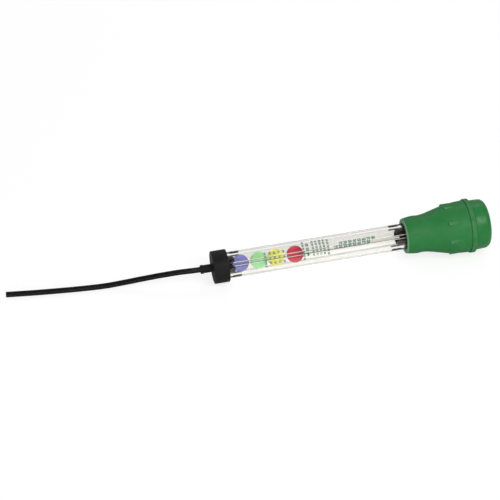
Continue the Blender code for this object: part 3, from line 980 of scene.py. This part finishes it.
def make_floor():
    """A white floor that keeps the object's shadow, with its own levels where the tube shows it."""
    material, tree = new_material("floor")
    path = node(tree, "LightPath").outputs
    levels = {"Factor": path["Is Camera Ray"], "A": floor_level_through(tree), "B": FLOOR_GLOW}
    level = node(tree, "Mix", levels).outputs["Result"]
    shown = node(tree, "BsdfDiffuse", {"Color": FLOOR_SHOWN}).outputs["BSDF"]
    white = node(tree, "Emission", {"Color": WHITE, "Strength": level}).outputs["Emission"]
    backdrop = node(tree, "AddShader", {0: shown, 1: white}).outputs["Shader"]
    lit = node(tree, "BsdfDiffuse", {"Color": FLOOR_LIT}).outputs["BSDF"]
    shows = larger(tree, path["Is Camera Ray"], path["Is Transmission Ray"])
    mix = node(tree, "MixShader", {0: shows, 1: lit, 2: backdrop}).outputs["Shader"]
    tree.links.new(mix, tree.nodes["Material Output"].inputs["Surface"])
    shape = bmesh.new()
    bmesh.ops.create_grid(shape, x_segments=1, y_segments=1, size=FLOOR_SIZE)
    mesh = finished_mesh(shape, "floor")
    mesh.materials.append(material)
    floor = bpy.data.objects.new("floor", mesh)
    scene.collection.objects.link(floor)


def make_world():
    """Soft light from all round, white to the camera.

    Mirrored, it is dimmer in front and above. Through the tube it is bright behind, most of all low down,
    and faint overhead.
    """
    world = bpy.data.worlds.new("studio")
    world.use_nodes = True
    tree = world.node_tree
    path = node(tree, "LightPath").outputs
    sky = node(tree, "SeparateXYZ", {"Vector": node(tree, "TexCoord").outputs["Generated"]}).outputs
    mirrored_low = mapped(tree, sky["Z"], *MIRRORED_BY_HEIGHT)
    mirrored = product(tree, mirrored_low, mapped(tree, sky["Y"], *MIRRORED_BY_DEPTH))
    rear_low = mapped(tree, sky["Z"], *THROUGH_BY_HEIGHT)
    rear = product(tree, mapped(tree, sky["Y"], *THROUGH_BY_DEPTH), rear_low)
    overhead = mapped(tree, sky["Z"], *THROUGH_OVERHEAD)
    through = product(tree, path["Is Transmission Ray"], larger(tree, rear, overhead))
    level = larger(tree, larger(tree, mirrored, through), path["Is Camera Ray"])
    lit = node(tree, "Background", {"Color": WHITE, "Strength": WORLD_LIGHT}).outputs["Background"]
    seen = node(tree, "Background", {"Color": WHITE, "Strength": level}).outputs["Background"]
    not_diffuse = larger(tree, path["Is Glossy Ray"], path["Is Transmission Ray"])
    shows = larger(tree, path["Is Camera Ray"], not_diffuse)
    mix = node(tree, "MixShader", {0: shows, 1: lit, 2: seen}).outputs["Shader"]
    tree.links.new(mix, tree.nodes["World Output"].inputs["Surface"])
    scene.world = world


def direction_to(azimuth, elevation):
    """From the object towards a viewer or a lamp at that azimuth and elevation, in radians."""
    return Vector((sin(azimuth) * cos(elevation), -cos(azimuth) * cos(elevation), sin(elevation)))


def add_lamp(name, azimuth, elevation, distance, width, height, power):
    """A soft box that isn't seen itself. Its light reaches the discs through the clear tube."""
    lamp = bpy.data.lights.new(name, "AREA")
    lamp.shape = "RECTANGLE"
    lamp.size = width
    lamp.size_y = height
    lamp.energy = power
    lamp.cycles.use_multiple_importance_sampling = False
    holder = bpy.data.objects.new(name, lamp)
    scene.collection.objects.link(holder)
    away = direction_to(radians(azimuth), radians(elevation))
    holder.location = away * distance
    holder.rotation_euler = away.to_track_quat("Z", "Y").to_euler()
    holder.visible_camera = False


def make_camera():
    """The camera, at the photograph's viewing angle."""
    data = bpy.data.cameras.new("camera")
    data.sensor_width = CAMERA_SENSOR_MM
    data.lens = CAMERA_LENS_MM
    camera = bpy.data.objects.new("camera", data)
    scene.collection.objects.link(camera)
    away = direction_to(CAMERA_AZIMUTH, CAMERA_ELEVATION)
    camera.location = CAMERA_TARGET + away * CAMERA_DISTANCE
    camera.rotation_euler = away.to_track_quat("Z", "Y").to_euler()
    scene.camera = camera


def make_discs():
    """The four discs, each in its own colour and on its own body."""
    for colour_name, colour in DISC_COLOURS.items():
        name = "disc_" + colour_name
        paler = tuple(value ** PALE_DISC_EDGE_POWER for value in colour)
        material = make_moulded(name, colour=colour, wear_and_highlight_colour=paler, **DISC_PLASTIC)
        make_disc(name, "float_" + colour_name, colour_name + "_disc", material)


def make_prints():
    """The rows and the lines of numbers on the tube."""
    ink = make_ink()
    for index, (station, height, words, size) in enumerate(PRINT_ROWS):
        make_print(f"print_row_{index}", words, size, station, height, True, ink)
    for index, (station, height, words, size) in enumerate(PRINT_LINES):
        make_print(f"print_line_{index}", words, size, station, height, False, ink)


make_camera()
make_hose(make_moulded("hose_rubber", **HOSE_RUBBER))
# Where the painted highlight on the bulb's rim ends, and where the drum's polish begins
neck_rim = distance_at(bulb_start + RIM_WIDTH)
drum_rim = distance_at(bulb_start + drum_start)
make_squeeze_bulb(make_moulded("green_rubber", **GREEN_RUBBER, highlight_until=neck_rim, polished_from=drum_rim))
make_tip_cap(make_moulded("black_rubber", **BLACK_RUBBER))
black_plastic = make_moulded("black_plastic", **BLACK_PLASTIC)
make_stop("tip_stop", "lower_stop", flange_start, False, TIP_WEB_DEPTH, black_plastic)
make_stop("bulb_stop", "upper_stop", upper_flange_face, True, BULB_WEB_DEPTH, black_plastic)
make_tube(make_clear_plastic())
make_fin_highlights(make_moulded("painted_fin_highlight", **FIN_HIGHLIGHT_WHITE))
make_discs()
make_prints()
make_floor()
make_world()
for lamp_settings in LAMPS:
    add_lamp(*lamp_settings)

scene.view_settings.view_transform = "Standard"
